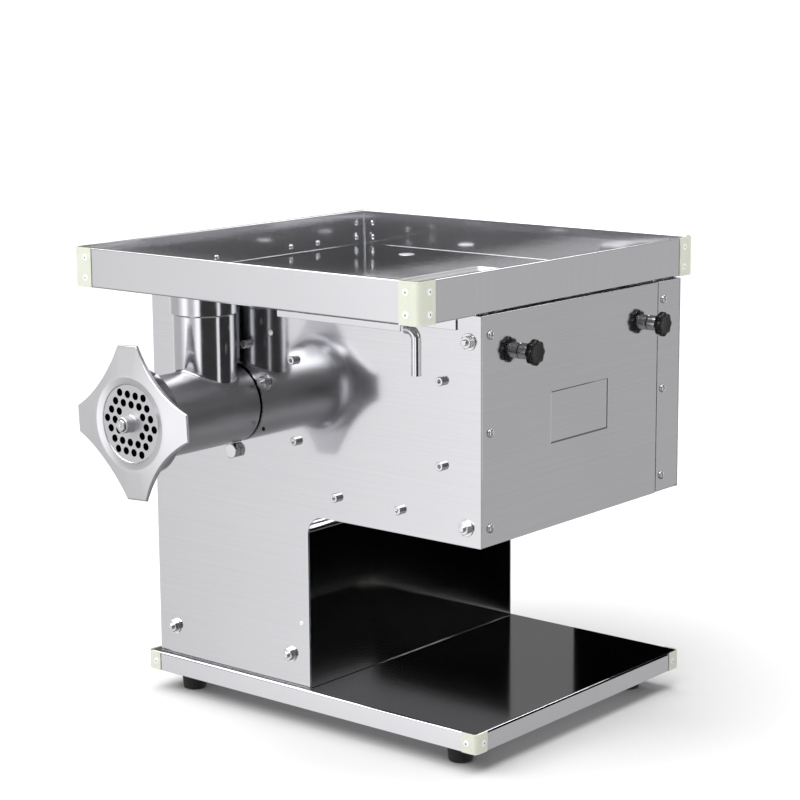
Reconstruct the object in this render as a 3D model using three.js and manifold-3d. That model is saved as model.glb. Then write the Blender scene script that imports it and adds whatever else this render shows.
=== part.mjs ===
// Desktop meat grinder with a drawer-type strip cutter beside it, in millimetres.
// +Z is up, the grinder head points along -Y, the cutter drawer slides out along +X.
// The origin is on the ground, at the middle of the footprint.
import * as THREE from "three";
import { mergeVertices } from "three/addons/utils/BufferGeometryUtils.js";
import Module from "manifold-3d";

const wasm = await Module();
wasm.setup();

// Driving dimensions
const GAP = 0.3; // clearance between pieces that touch
const SHEET = 1.5; // stainless sheet thickness
const FOOT_HEIGHT = 22;
const BASE_TOP = 42;
const BODY = { x0: -216, x1: 214, y0: -105, y1: 231, top: 440.7 };
const COLUMN_X = -3; // right face of the lower column
const OVERHANG_Z = 221.5; // underside of the upper box
const BEND_R = 20; // inner radius where the column meets the upper box
const BASE = { x0: -227.6, x1: 213.3, y0: -111.6, y1: 238 };
const TRAY = { x0: -237.7, x1: 209.1, y0: -188.5, y1: 258.1, z0: 441, z1: 481.3 };
const COVER_END_Y = 189.5; // seam between the drawer cover and the rear strip
const CAP = { wall: 1.5, trayLeg: 23, baseLeg: 17 };

const HEAD = { x: -102.8, z: 324.7, barrel: 40.4, bore: 36, back: -106.5, shoulder: -229.5 };
const THROAT = { y: -143, r: 31.6, bore: 28.6, collar: 34, collarZ: 421 };
const RING = { front: -249, plate: 7, opening: 38, skirt: 52.5, lobe: 76, tip: 26, waist: 55, turn: 3 };
const PLATE = { r: 41, front: -246.5, back: -238.5, boss: 8, bossFront: -258.2, holes: 3.7, pitch: 10.8, turn: 4 };
const THREAD = { r: 47, length: 16.8 }; // threaded mouth of the head, under the ring nut
const SPIGOT = { r: 29.5, end: -72, bore: 13 }; // rear end of the head, clamped in the gearbox
const SPINDLE = { r: 5.4, front: -260 };

const KNIFE = { z: 335.5, y: 42, spread: 24, r: 27, shaft: 10, count: 9, pitch: 20, thick: 3, x0: 20 };
const BULKHEAD_X = -26;
const INNER_PLATE = { x0: -10, x1: -4 };
const OUTER_PLATE = { x0: 196, x1: 212.2 };
const DRAWER = { y0: -99, y1: 187, z0: 293, z1: 378 };
const RAIL = { x0: -24, x1: 196, z0: 289, z1: 382 };
const KNOBS = { front: -43, rear: 174, z: 401, r: 12.5, shank: 7.7, x0: 225.6, x1: 233.7 };
const HOPPER = { x0: 23, x1: 190, y0: -55, y1: 139, z0: 381, neck0: -20, neck1: 104, flange: 6.5 };
const OUTLET = { x0: 34, x1: 118, y0: -70, y1: 170, top: 262 };
const BELT = { x0: -45, x1: -31, drivenR: 40, motorR: 20, thick: 5 };
const CUT_MOTOR = { y: 50, z: 125, r: 60, x0: -208, x1: -52 };
const MIX_MOTOR = { r: 52, y0: -19, y1: 170 };
const SWITCHES = { y: -55, z: [395, 345] };
const DRAIN = { x: 195, y: -175, r: 4.6, bend: 9, z: 435.6, tip: 394 };
const GLAND = { x: -180, z: 75, r: 9 };
const WALL_LIP_X = 28; // end of the bent lip of the column wall
const LOCK_BAR = { x0: 203, x1: 209, height: 18 };
const TEETH = 16; // of each timing gear

// Finishes
const finish = (color, roughness, metalness) => new THREE.MeshStandardMaterial({ color, roughness, metalness });
const steel = finish("#c9c9cc", 0.22, 1);
const castSteel = finish("#b9b9bd", 0.3, 1);
const palePlastic = finish("#dde0cc", 0.5, 0);
const blackPlastic = finish("#161617", 0.3, 0);
const rubber = finish("#1b1b1b", 0.8, 0);
const paint = finish("#6c7076", 0.5, 0.1);
const beltRubber = finish("#242424", 0.7, 0);

const grinder = new THREE.Group();
const AROUND = 32; // sides of a large round
const SMALL = 16; // sides of a small round

function add(name, geometry, material, parent = grinder) {
  const mesh = new THREE.Mesh(geometry, material);
  mesh.name = name;
  parent.add(mesh);
  return mesh;
}

// Basic solids
const box = (x0, x1, y0, y1, z0, z1) =>
  new THREE.BoxGeometry(x1 - x0, y1 - y0, z1 - z0).translate((x0 + x1) / 2, (y0 + y1) / 2, (z0 + z1) / 2);

function outline(points) {
  return new THREE.Shape(points.map(([a, b]) => new THREE.Vector2(a, b)));
}

function extrude(shape, depth, curveSegments = 8) {
  return new THREE.ExtrudeGeometry(shape, { depth, bevelEnabled: false, curveSegments });
}

// A shape drawn in X and Z, from y0 to y1
const extrudeY = (shape, y0, y1, curve) => extrude(shape, y1 - y0, curve).rotateX(Math.PI / 2).translate(0, y1, 0);

// A shape drawn in Y and Z, from x0 to x1
const CYCLE = new THREE.Matrix4().makeBasis(
  new THREE.Vector3(0, 1, 0),
  new THREE.Vector3(0, 0, 1),
  new THREE.Vector3(1, 0, 0),
);
const extrudeX = (shape, x0, x1, curve) => extrude(shape, x1 - x0, curve).applyMatrix4(CYCLE).translate(x0, 0, 0);

// A profile of [radius, height] pairs turned about the axis, standing along "x", "y" or "z"
function turned(profile, axis, sides = AROUND) {
  const loop = [...profile, profile[0]];
  const area = loop.slice(1).reduce((sum, [r, h], i) => sum + loop[i][0] * h - r * loop[i][1], 0);
  const ordered = area > 0 ? profile : [...profile].reverse();
  const geometry = new THREE.LatheGeometry(ordered.map(([r, h]) => new THREE.Vector2(r, h)), sides);
  if (axis === "x") geometry.rotateZ(-Math.PI / 2);
  if (axis === "z") geometry.rotateX(Math.PI / 2);
  return geometry;
}

const rod = (axis, r, from, to, sides) => turned([[0, from], [r, from], [r, to], [0, to]], axis, sides);

// Joining and cutting
function solid(geometry) {
  const bare = geometry.clone();
  bare.deleteAttribute("normal");
  bare.deleteAttribute("uv");
  const merged = mergeVertices(bare, 1e-4);
  return new wasm.Manifold(
    new wasm.Mesh({
      numProp: 3,
      vertProperties: merged.attributes.position.array,
      triVerts: new Uint32Array(merged.index.array),
    }),
  );
}

function geometryOf(body) {
  const mesh = body.getMesh();
  return new THREE.BufferGeometry()
    .setAttribute("position", new THREE.BufferAttribute(mesh.vertProperties, mesh.numProp))
    .setIndex(new THREE.BufferAttribute(mesh.triVerts, 1));
}

const join = (...parts) => geometryOf(parts.map(solid).reduce((a, b) => a.add(b)));
const cut = (part, ...tools) => geometryOf(tools.map(solid).reduce((a, b) => a.subtract(b), solid(part)));

const corners = [
  ["front_left", -1, -1],
  ["front_right", 1, -1],
  ["rear_left", -1, 1],
  ["rear_right", 1, 1],
];

// Base: pan, corner caps and feet
function buildBase() {
  const { x0, x1, y0, y1 } = BASE;
  const pan = cut(
    box(x0, x1, y0, y1, FOOT_HEIGHT, BASE_TOP),
    box(x0 + SHEET, x1 - SHEET, y0 + SHEET, y1 - SHEET, FOOT_HEIGHT - 1, BASE_TOP - SHEET),
  );
  add("base_pan", pan, steel);
  addCaps("base", BASE, CAP.baseLeg, FOOT_HEIGHT, BASE_TOP);

  const inset = { x0: -191, x1: 171, y0: -81, y1: 207 };
  const profile = [
    [0, 0], [11, 0], [12.5, 2], [14, FOOT_HEIGHT + 2], [6, FOOT_HEIGHT + 2],
    [6, BASE_TOP - SHEET - GAP], [0, BASE_TOP - SHEET - GAP],
  ];
  for (const [corner, sx, sy] of corners) {
    const foot = add(`foot_${corner}`, turned(profile, "z", SMALL), rubber);
    foot.position.set(sx < 0 ? inset.x0 : inset.x1, sy < 0 ? inset.y0 : inset.y1, 0);
  }
}

// Plastic angles that wrap the upright corners of a pan or tray
function addCaps(prefix, pan, leg, z0, z1) {
  const t = CAP.wall;
  const angle = extrude(outline([[0, 0], [leg + t, 0], [leg + t, t], [t, t], [t, leg + t], [0, leg + t]]), z1 - z0);
  for (const [corner, sx, sy] of corners) {
    const turn = { front_left: 0, front_right: 1, rear_right: 2, rear_left: 3 }[corner];
    const cap = add(`${prefix}_corner_cap_${corner}`, angle, palePlastic);
    const away = t + GAP;
    cap.position.set(sx < 0 ? pan.x0 - away : pan.x1 + away, sy < 0 ? pan.y0 - away : pan.y1 + away, z0);
    cap.rotation.z = (turn * Math.PI) / 2;
  }
}

// The L-shaped front and rear panels share one outline
function sideOutline(holes = []) {
  const shape = new THREE.Shape();
  const low = BASE_TOP + GAP;
  shape.moveTo(BODY.x0, low);
  shape.lineTo(COLUMN_X, low);
  shape.lineTo(COLUMN_X, OVERHANG_Z - BEND_R);
  shape.absarc(COLUMN_X + BEND_R, OVERHANG_Z - BEND_R, BEND_R, Math.PI, Math.PI / 2, true);
  shape.lineTo(BODY.x1, OVERHANG_Z);
  shape.lineTo(BODY.x1, BODY.top);
  shape.lineTo(BODY.x0, BODY.top);
  shape.closePath();
  for (const hole of holes) shape.holes.push(hole);
  return shape;
}

function roundHole(x, z, r, sides = SMALL) {
  const path = new THREE.Path();
  path.setFromPoints(
    Array.from({ length: sides }, (_, i) => {
      const a = (2 * Math.PI * i) / sides;
      return new THREE.Vector2(x + r * Math.cos(a), z + r * Math.sin(a));
    }),
  );
  return path;
}

function slotHole(a0, a1, b0, b1) {
  return new THREE.Path([[a0, b0], [a1, b0], [a1, b1], [a0, b1]].map(([a, b]) => new THREE.Vector2(a, b)));
}

const inside = {
  x0: BODY.x0 + SHEET + GAP,
  x1: BODY.x1 - SHEET - GAP,
  y0: BODY.y0 + SHEET + GAP,
  y1: BODY.y1 - SHEET - GAP,
};

function buildPanels() {
  const spigotHole = roundHole(HEAD.x, HEAD.z, SPIGOT.r + 2 * GAP, AROUND);
  add("front_panel", extrudeY(sideOutline([spigotHole]), BODY.y0, BODY.y0 + SHEET), steel);

  const vents = Array.from({ length: 5 }, (_, i) => slotHole(-150, -70, 90 + 14 * i, 95 + 14 * i));
  const gland = roundHole(GLAND.x, GLAND.z, GLAND.r + GAP);
  add("rear_panel", extrudeY(sideOutline([...vents, gland]), BODY.y1 - SHEET, BODY.y1), steel);

  const left = outline([
    [inside.y0, BASE_TOP + GAP], [inside.y1, BASE_TOP + GAP], [inside.y1, BODY.top], [inside.y0, BODY.top],
  ]);
  for (let i = 0; i < 7; i++) left.holes.push(slotHole(60, 140, 80 + 14 * i, 85 + 14 * i));
  for (const z of SWITCHES.z) left.holes.push(slotHole(SWITCHES.y - 10, SWITCHES.y + 10, z - 14, z + 14));
  add("left_panel", extrudeX(left, BODY.x0, BODY.x0 + SHEET), steel);

  // Column wall beside the bowl space: upright, then bent out under the upper box
  const wall = new THREE.Shape();
  const bendX = COLUMN_X + BEND_R;
  const bendZ = OVERHANG_Z - BEND_R;
  wall.moveTo(COLUMN_X - SHEET, BASE_TOP + GAP);
  wall.lineTo(COLUMN_X, BASE_TOP + GAP);
  wall.lineTo(COLUMN_X, bendZ);
  wall.absarc(bendX, bendZ, BEND_R, Math.PI, Math.PI / 2, true);
  wall.lineTo(WALL_LIP_X, OVERHANG_Z);
  wall.lineTo(WALL_LIP_X, OVERHANG_Z + SHEET);
  wall.lineTo(bendX, OVERHANG_Z + SHEET);
  wall.absarc(bendX, bendZ, BEND_R + SHEET, Math.PI / 2, Math.PI, false);
  add("recess_wall", extrudeY(wall, inside.y0, inside.y1), steel);

  const low = OVERHANG_Z + SHEET + GAP;
  const fold = outline([
    [BULKHEAD_X, low], [WALL_LIP_X - 2, low], [WALL_LIP_X - 2, low + SHEET], [BULKHEAD_X + SHEET, low + SHEET],
    [BULKHEAD_X + SHEET, BODY.top], [BULKHEAD_X, BODY.top],
  ]);
  const shaftHole = rod("x", 14, BULKHEAD_X - 1, BULKHEAD_X + SHEET + 1, SMALL);
  shaftHole.translate(0, KNIFE.y - KNIFE.spread, KNIFE.z);
  add("bulkhead", cut(extrudeY(fold, inside.y0, inside.y1), shaftHole), steel);

  const { x0, x1, y0, y1, top } = OUTLET;
  const floor = join(
    box(WALL_LIP_X + GAP, inside.x1, inside.y0, inside.y1, OVERHANG_Z, OVERHANG_Z + SHEET),
    box(x0, x1, y0, y1, OVERHANG_Z, top),
  );
  const well = box(x0 + SHEET, x1 - SHEET, y0 + SHEET, y1 - SHEET, OVERHANG_Z - 1, top + 1);
  add("overhang_floor", cut(floor, well), steel);

  const strip = outline([
    [BODY.x1, COVER_END_Y + GAP], [BODY.x1, inside.y1], [BODY.x1 - SHEET, inside.y1],
    [BODY.x1 - SHEET, COVER_END_Y + SHEET + GAP], [BODY.x1 - 12, COVER_END_Y + SHEET + GAP],
    [BODY.x1 - 12, COVER_END_Y + GAP],
  ]);
  add("rear_side_strip", extrude(strip, BODY.top - low).translate(0, 0, low), steel);
}

// Tray, its bracket, the hopper below it and the drain
function buildTray() {
  const { x0, x1, y0, y1, z0, z1 } = TRAY;
  const tray = cut(
    box(x0, x1, y0, y1, z0, z1),
    box(x0 + SHEET, x1 - SHEET, y0 + SHEET, y1 - SHEET, z0 + SHEET, z1 + 1),
    rod("z", THROAT.bore, z0 - 1, z0 + SHEET + 1, AROUND).translate(HEAD.x, THROAT.y, 0),
    box(HOPPER.x0 - GAP, HOPPER.x1 + GAP, HOPPER.y0 - GAP, HOPPER.y1 + GAP, z0 - 1, z0 + SHEET + 1),
  );
  add("feed_tray", tray, steel);
  addCaps("tray", TRAY, CAP.trayLeg, z0, z1);

  // The hopper drops through the tray, hangs by its flange and narrows towards the rollers
  const h = HOPPER;
  const deck = z0 + SHEET + GAP;
  const funnel = (t, low, high) =>
    extrudeX(
      outline([
        [h.y0 + t, high], [h.y0 + t, z0 - 8], [h.neck0 + t, low], [h.neck1 - t, low], [h.y1 - t, z0 - 8], [h.y1 - t, high],
      ]),
      h.x0 + t,
      h.x1 - t,
    );
  const flange = box(h.x0 - h.flange, h.x1 + h.flange, h.y0 - h.flange, h.y1 + h.flange, deck, deck + SHEET);
  const hopper = cut(join(funnel(0, h.z0, deck + SHEET), flange), funnel(SHEET, h.z0 - 1, deck + 5));
  add("hopper", hopper, steel);

  const top = z0 - GAP;
  const front = y0 + SHEET;
  const back = BODY.y0 - GAP;
  const bracket = outline([
    [front, top], [front, top - 6], [front + SHEET, top - 6], [front + SHEET, top - SHEET],
    [back - SHEET, top - SHEET], [back - SHEET, top - 15], [back, top - 15], [back, top],
  ]);
  add("tray_bracket", extrudeX(bracket, 36.5, 186), steel);

  const path = new THREE.CurvePath();
  const elbow = new THREE.Vector3(DRAIN.x, DRAIN.y, DRAIN.z);
  const before = new THREE.Vector3(DRAIN.x - DRAIN.bend, DRAIN.y, DRAIN.z);
  const after = new THREE.Vector3(DRAIN.x, DRAIN.y, DRAIN.z - DRAIN.bend);
  path.add(new THREE.QuadraticBezierCurve3(before, elbow, after));
  path.add(new THREE.LineCurve3(after, new THREE.Vector3(DRAIN.x, DRAIN.y, DRAIN.tip)));
  const ring = new THREE.Shape().absarc(0, 0, DRAIN.r, 0, 2 * Math.PI);
  ring.holes.push(new THREE.Path().absarc(0, 0, DRAIN.r - 1, 0, 2 * Math.PI, true));
  const pipe = new THREE.ExtrudeGeometry(ring, { steps: 12, extrudePath: path, curveSegments: 5 });
  add("drain_pipe", pipe, steel);
}

// Grinder head casting: barrel, throat, threaded mouth and rear spigot in one
function buildHead() {
  const barrel = turned(
    [
      [0, HEAD.shoulder - THREAD.length], [THREAD.r, HEAD.shoulder - THREAD.length], [THREAD.r, HEAD.shoulder],
      [HEAD.barrel, HEAD.shoulder + 5], [HEAD.barrel, HEAD.back], [SPIGOT.r, HEAD.back],
      [SPIGOT.r, SPIGOT.end], [0, SPIGOT.end],
    ],
    "y",
  );
  const throat = turned(
    [
      [0, 0], [THROAT.r + 3, 0], [THROAT.r + 3, HEAD.barrel * 0.7], [THROAT.r, HEAD.barrel * 1.05],
      [THROAT.r, THROAT.collarZ - HEAD.z], [THROAT.collar, THROAT.collarZ - HEAD.z + 2],
      [THROAT.collar, TRAY.z0 - GAP - HEAD.z], [0, TRAY.z0 - GAP - HEAD.z],
    ],
    "z",
  ).translate(0, THROAT.y, 0);
  const casting = cut(
    join(barrel, throat),
    rod("y", HEAD.bore, HEAD.shoulder - 18, HEAD.back - 5, AROUND),
    rod("y", PLATE.r + GAP, HEAD.shoulder - 18, HEAD.shoulder + 2, AROUND),
    rod("z", THROAT.bore, 0, TRAY.z0 - HEAD.z, AROUND).translate(0, THROAT.y, 0),
    rod("y", SPIGOT.bore, HEAD.back - 6, SPIGOT.end + 2, SMALL),
  );
  const head = new THREE.Group();
  head.position.set(HEAD.x, 0, HEAD.z);
  grinder.add(head);
  add("grinder_head", casting, castSteel, head);
  add("ring_nut", ringNut(), castSteel, head);
  add("hole_plate", holePlate(), castSteel, head);
  add("cross_knife", crossKnife(), castSteel, head);
  add("auger", auger(), castSteel, head);
  add("clamp_bolt", clampBolt(), steel);
}

// Ring nut: a plate with four concave-sided lobes on a round skirt
function ringNut() {
  const shape = new THREE.Shape();
  const half = RING.tip / 2;
  const corner = new THREE.Vector2(RING.lobe, half);
  const middle = Math.hypot(corner.x, corner.y) * Math.cos(Math.PI / 4 - corner.angle());
  const sag = middle - RING.waist;
  const halfChord = (RING.lobe - half) / Math.SQRT2;
  const radius = (halfChord ** 2 + sag ** 2) / (2 * sag);
  const far = RING.waist + radius;
  const sweep = Math.asin(halfChord / radius);
  for (let i = 0; i < 4; i++) {
    const a = (i + 0.5) * (Math.PI / 2);
    const [x, y] = [far * Math.cos(a), far * Math.sin(a)];
    shape.absarc(x, y, radius, a + Math.PI + sweep, a + Math.PI - sweep, true);
  }
  shape.closePath();
  const { front, plate, opening, skirt } = RING;
  const lobes = extrudeY(shape, front, front + plate, 6).rotateY(-THREE.MathUtils.degToRad(RING.turn));
  return cut(
    join(lobes, rod("y", skirt, front + 1, HEAD.shoulder + 0.5, AROUND)),
    rod("y", opening, front - 1, front + 4, AROUND),
    rod("y", THREAD.r + GAP, PLATE.front - GAP, HEAD.shoulder + 1, AROUND),
  );
}

// Plate with a hexagonal grid of round holes and a raised middle boss
function holePlate() {
  const shape = new THREE.Shape().absarc(0, 0, PLATE.r, 0, 2 * Math.PI);
  const row = PLATE.pitch * Math.sqrt(0.75);
  for (let j = -3; j <= 3; j++) {
    const count = 7 - Math.abs(j);
    for (let i = 0; i < count; i++) {
      const [x, z] = [(i - (count - 1) / 2) * PLATE.pitch, j * row];
      if (Math.hypot(x, z) > PLATE.pitch * 1.1) shape.holes.push(roundHole(x, z, PLATE.holes, 8));
    }
  }
  const disc = extrudeY(shape, PLATE.front, PLATE.back, 16).rotateY(THREE.MathUtils.degToRad(PLATE.turn));
  return cut(
    join(disc, rod("y", PLATE.boss, PLATE.bossFront, PLATE.back - 1, SMALL)),
    rod("y", SPINDLE.r + GAP, PLATE.bossFront - 1, PLATE.back + 1, SMALL),
  );
}

function crossKnife() {
  const [from, to] = [PLATE.back + GAP, PLATE.back + 9];
  const blade = box(-37, 37, from, to, -7, 7);
  const cross = join(blade, blade.clone().rotateY(Math.PI / 2), rod("y", 15, from, to, SMALL));
  return cut(cross, rod("y", SPINDLE.r + GAP, from - 1, to + 1, SMALL));
}

// Auger: core with a spindle at each end and one helical flight
function auger() {
  const back = HEAD.back - 6;
  const face = PLATE.back + 9 + GAP;
  const core = turned(
    [
      [0, SPINDLE.front], [SPINDLE.r - 2, SPINDLE.front], [SPINDLE.r, SPINDLE.front + 2], [SPINDLE.r, face],
      [17, face], [20, back], [11.5, back], [11.5, -60], [0, -60],
    ],
    "y",
    SMALL,
  );
  const turns = 2.5;
  const steps = 36;
  const from = face + 1;
  const rise = back - 8 - from;
  const positions = [];
  const index = [];
  for (let i = 0; i <= steps; i++) {
    const a = (2 * Math.PI * turns * i) / steps;
    const y = from + (rise * i) / steps;
    for (const [r, h] of [[12, y], [34.5, y + 1], [34.5, y + 5], [12, y + 6.5]])
      positions.push(r * Math.cos(a), h, r * Math.sin(a));
  }
  for (let i = 0; i < steps; i++)
    for (let j = 0; j < 4; j++) {
      const [a, b] = [4 * i + j, 4 * i + ((j + 1) % 4)];
      index.push(a, b, b + 4, a, b + 4, a + 4);
    }
  const end = 4 * steps;
  index.push(0, 2, 1, 0, 3, 2, end, end + 1, end + 2, end, end + 2, end + 3);
  const flight = new THREE.BufferGeometry();
  flight.setAttribute("position", new THREE.Float32BufferAttribute(positions, 3));
  flight.setIndex(index);
  return join(core, flight);
}

// Hexagon screw that clamps the head, below the barrel
function clampBolt() {
  const bolt = rod("y", 8.4, BODY.y0 - 10, BODY.y0 - GAP, 6);
  return bolt.translate(-100.7, 0, 275.3);
}

// Grinder drive behind the head
function buildGrinderDrive() {
  const drive = new THREE.Group();
  drive.position.set(HEAD.x, 0, HEAD.z);
  grinder.add(drive);
  const front = inside.y0;
  const back = MIX_MOTOR.y0 - GAP;
  const housing = cut(
    join(rod("y", 60, front, front + 9, AROUND), box(-58, 48, front + 8, back, -60, 56)),
    rod("y", SPIGOT.r + 2 * GAP, front - 1, SPIGOT.end + 2, AROUND),
    rod("y", 16 + GAP, -71, back + 1, SMALL),
  );
  add("gearbox", housing, castSteel, drive);
  const shaft = turned([[0, -59.5], [11.8, -59.5], [11.8, -71], [16, -71], [16, back], [0, back]], "y", SMALL);
  add("output_shaft", shaft, steel, drive);
  const motor = turned(
    [
      [0, MIX_MOTOR.y0], [MIX_MOTOR.r, MIX_MOTOR.y0], [MIX_MOTOR.r, 130], [46, 134],
      [46, MIX_MOTOR.y1], [0, MIX_MOTOR.y1],
    ],
    "y",
  );
  add("grinder_motor", motor, paint, drive);
}

// Points of a belt line that runs round the two pulleys, "out" beyond their rims
function beltLine(out) {
  const top = { y: KNIFE.y - KNIFE.spread, z: KNIFE.z, r: BELT.drivenR + out };
  const low = { y: CUT_MOTOR.y, z: CUT_MOTOR.z, r: BELT.motorR + out };
  const along = Math.atan2(top.z - low.z, top.y - low.y);
  const lean = Math.acos((low.r - top.r) / Math.hypot(top.z - low.z, top.y - low.y));
  const arc = (c, from, to, steps) =>
    Array.from({ length: steps + 1 }, (_, i) => {
      const a = from + ((to - from) * i) / steps;
      return new THREE.Vector2(c.y + c.r * Math.cos(a), c.z + c.r * Math.sin(a));
    });
  const [right, left] = [along - (Math.PI - lean), along + (Math.PI - lean)];
  return [...arc(top, right, left, 12), ...arc(low, left, right + 2 * Math.PI, 8)];
}

// Cutter drive: motor, belt and the stub shaft through the bulkhead
function buildCutterDrive() {
  const body = turned(
    [[0, CUT_MOTOR.x0], [48, CUT_MOTOR.x0], [48, -180], [CUT_MOTOR.r, -176], [CUT_MOTOR.r, CUT_MOTOR.x1], [0, CUT_MOTOR.x1]],
    "x",
  );
  const foot = box(-165, -75, -45, 45, BASE_TOP + GAP - CUT_MOTOR.z, -40);
  const motor = join(body, foot).translate(0, CUT_MOTOR.y, CUT_MOTOR.z);
  add("cutter_motor", motor, paint);

  const pulley = (r, bore, x0, x1) =>
    turned(
      [
        [bore, x0], [r + 3, x0], [r + 3, x0 + 1.5], [r, x0 + 2.5], [r, x1 - 2.5],
        [r + 3, x1 - 1.5], [r + 3, x1], [bore, x1], [bore, x0],
      ],
      "x",
      24,
    );
  const small = join(
    pulley(BELT.motorR, 4, BELT.x0 - 3, BELT.x1 + 3),
    rod("x", 8, CUT_MOTOR.x1 + GAP, BELT.x1 + 3, SMALL),
  ).translate(0, CUT_MOTOR.y, CUT_MOTOR.z);
  add("motor_pulley", small, castSteel);

  const loop = new THREE.Shape(beltLine(BELT.thick));
  loop.holes.push(new THREE.Path(beltLine(1)));
  add("drive_belt", extrudeX(loop, BELT.x0, BELT.x1), beltRubber);

  const stub = new THREE.Group();
  stub.position.set(0, KNIFE.y - KNIFE.spread, KNIFE.z);
  grinder.add(stub);
  add("driven_pulley", pulley(BELT.drivenR, 9 + GAP, BELT.x0 - 3, BELT.x1 + 3), castSteel, stub);
  const tongue = box(-14.5, -11, -3.5, 3.5, -8, 8);
  add("stub_shaft", join(rod("x", 9, BELT.x0 - 6, -14, SMALL), tongue), steel, stub);
  const bearing = cut(
    join(rod("x", 26, BULKHEAD_X + SHEET + GAP, BULKHEAD_X + SHEET + 4, 24), rod("x", 13.5, -27.5, -21, SMALL)),
    rod("x", 9 + GAP, -40, -10, SMALL),
  );
  add("bearing_housing", bearing, castSteel, stub);
}

// Cutter drawer: two end plates, knife rollers, gears, combs, tie rods, cover and knobs
function buildDrawer() {
  const axes = { front: KNIFE.y - KNIFE.spread, rear: KNIFE.y + KNIFE.spread };
  const bearings = (x0, x1, r) =>
    Object.values(axes).map((y) => rod("x", r, x0 - 1, x1 + 1, SMALL).translate(0, y, KNIFE.z));
  const { y0, y1, z0, z1 } = DRAWER;
  const inner = box(INNER_PLATE.x0, INNER_PLATE.x1, y0, y1, z0, z1);
  add("inner_plate", cut(inner, ...bearings(INNER_PLATE.x0, INNER_PLATE.x1, KNIFE.shaft + GAP)), steel);
  const outer = cut(
    box(OUTER_PLATE.x0, OUTER_PLATE.x1, y0, y1, z0, z1),
    box(OUTER_PLATE.x0 + 5, OUTER_PLATE.x1 + 1, y0 + 3, y1 - 3, z0 - 1, z1 + 1),
    ...bearings(OUTER_PLATE.x0, OUTER_PLATE.x0 + 5, KNIFE.shaft + GAP),
  );
  add("outer_plate", outer, steel);

  for (const [name, y] of [["front", -70], ["rear", 155]]) {
    const tie = rod("x", 6, INNER_PLATE.x1 + GAP, OUTER_PLATE.x0 - GAP, 12).translate(0, y, KNIFE.z);
    add(`tie_rod_${name}`, tie, steel);
  }

  for (const [name, y] of Object.entries(axes)) {
    const turnedPart = new THREE.Group();
    turnedPart.position.set(0, y, KNIFE.z);
    grinder.add(turnedPart);
    const first = KNIFE.x0 + (name === "rear" ? KNIFE.pitch / 2 - 1 : 0);
    add(`knife_roller_${name}`, knifeRoller(first, name === "front"), steel, turnedPart);
    const gear = add(`timing_gear_${name}`, timingGear(), castSteel, turnedPart);
    if (name === "rear") gear.rotation.x = Math.PI / TEETH;
    add(`comb_${name}`, comb(first, name === "front" ? 1 : -1), steel, turnedPart);
  }

  const cover = outline([
    [inside.y0, OVERHANG_Z + GAP], [COVER_END_Y, OVERHANG_Z + GAP], [COVER_END_Y, BODY.top], [inside.y0, BODY.top],
  ]);
  for (const y of [KNOBS.front, KNOBS.rear]) cover.holes.push(roundHole(y, KNOBS.z, 4.8, 12));
  add("side_cover", extrudeX(cover, BODY.x1 - SHEET, BODY.x1), steel);
  add("knob_front", knob().translate(0, KNOBS.front, KNOBS.z), blackPlastic);
  add("knob_rear", knob().translate(0, KNOBS.rear, KNOBS.z), blackPlastic);

  const { x0: barStart, x1: barEnd, height } = LOCK_BAR;
  const bar = box(barStart, barEnd, inside.y0, COVER_END_Y, KNOBS.z - height / 2, KNOBS.z + height / 2);
  const threads = [KNOBS.front, KNOBS.rear].map((y) => rod("x", 4.6, barStart - 1, barEnd + 1, 12).translate(0, y, KNOBS.z));
  add("lock_bar", cut(bar, ...threads), steel);

  const web = inside.y0;
  const rail = outline([
    [web, RAIL.z0], [web + 12, RAIL.z0], [web + 12, RAIL.z0 + 2], [web + 2, RAIL.z0 + 2],
    [web + 2, RAIL.z1 - 2], [web + 12, RAIL.z1 - 2], [web + 12, RAIL.z1], [web, RAIL.z1],
  ]);
  add("rail_front", extrudeX(rail, RAIL.x0, RAIL.x1), steel);
  const [near, far] = [DRAWER.y1 + GAP, inside.y1];
  const channel = outline([
    [far, RAIL.z0], [near, RAIL.z0], [near, RAIL.z1], [far, RAIL.z1],
    [far, RAIL.z1 - 2], [near + 2, RAIL.z1 - 2], [near + 2, RAIL.z0 + 2], [far, RAIL.z0 + 2],
  ]);
  add("rail_rear", extrudeX(channel, RAIL.x0, RAIL.x1), steel);
}

// One roller: a shaft with evenly spaced cutting discs, and a drive slot in the front roller's end
function knifeRoller(first, driven) {
  const start = driven ? -14 : INNER_PLATE.x0;
  const profile = [[0, start], [KNIFE.shaft, start]];
  for (let i = 0; i < KNIFE.count; i++) {
    const x = first + i * KNIFE.pitch;
    profile.push([KNIFE.shaft, x], [KNIFE.r, x + 0.6], [KNIFE.r, x + KNIFE.thick - 0.6], [KNIFE.shaft, x + KNIFE.thick]);
  }
  profile.push([KNIFE.shaft, OUTER_PLATE.x0 + 4], [0, OUTER_PLATE.x0 + 4]);
  const roller = turned(profile, "x", SMALL);
  return driven ? cut(roller, box(-15, -10.5, -4, 4, -12, 12)) : roller;
}

function timingGear() {
  const [root, tip] = [KNIFE.spread - 3.2, KNIFE.spread + 2.2];
  const step = (2 * Math.PI) / TEETH;
  const points = [];
  for (let i = 0; i < TEETH; i++)
    for (const [r, offset] of [[root, -0.3], [tip, -0.13], [tip, 0.13], [root, 0.3]]) {
      const a = (i + offset) * step;
      points.push([r * Math.cos(a), r * Math.sin(a)]);
    }
  const shape = outline(points);
  shape.holes.push(roundHole(0, 0, KNIFE.shaft + GAP));
  return extrudeX(shape, -2, 8);
}

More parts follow.
